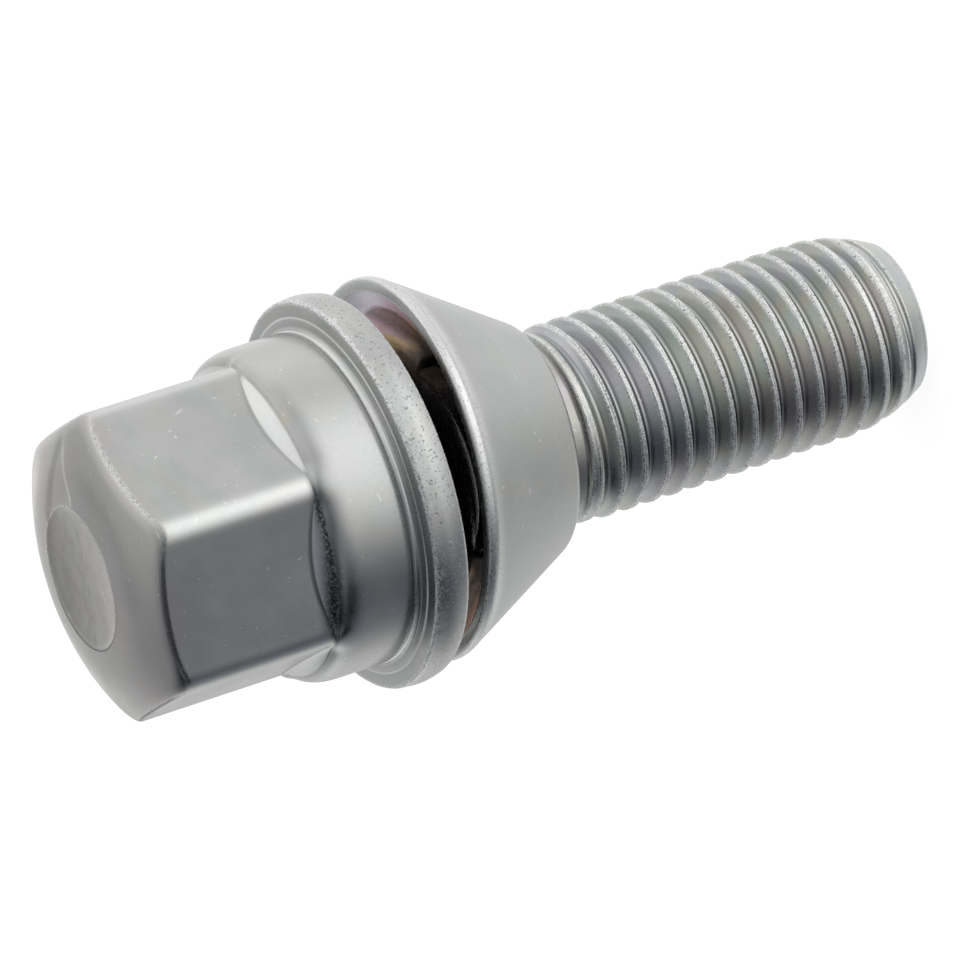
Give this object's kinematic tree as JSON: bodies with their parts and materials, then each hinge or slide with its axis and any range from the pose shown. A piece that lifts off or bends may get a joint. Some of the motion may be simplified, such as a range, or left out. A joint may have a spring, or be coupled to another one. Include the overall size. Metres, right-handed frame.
{
  "type": "wheel bolt",
  "caption": "Hexagon-head wheel bolt with a collar and flange, a rolled thread, and a loose cone washer trapped on its shank that centres in a wheel's tapered hole.",
  "frame": {"origin": "centre of the flat end face of the thread, which the bolt stands on", "axes": "+Z along the bolt's axis from the thread's end up to the head; two corners of the hexagon lie on the Y axis"},
  "size_m": [0.0236, 0.0236, 0.0542],
  "materials": {
    "zinc_plate": "satin bright zinc plate on forged steel",
    "zinc_washer": "satin bright zinc plate on turned steel"
  },
  "bodies": {
    "bolt": {"bolt": "zinc_plate"},
    "washer": {"cone_washer": "zinc_washer"}
  },
  "joints": [
    {"name": "washer_spin", "type": "hinge", "parent": "bolt", "child": "washer", "pos_m": [0, 0, 0.02712], "axis": [0, 0, 1], "continuous": true}
  ]
}
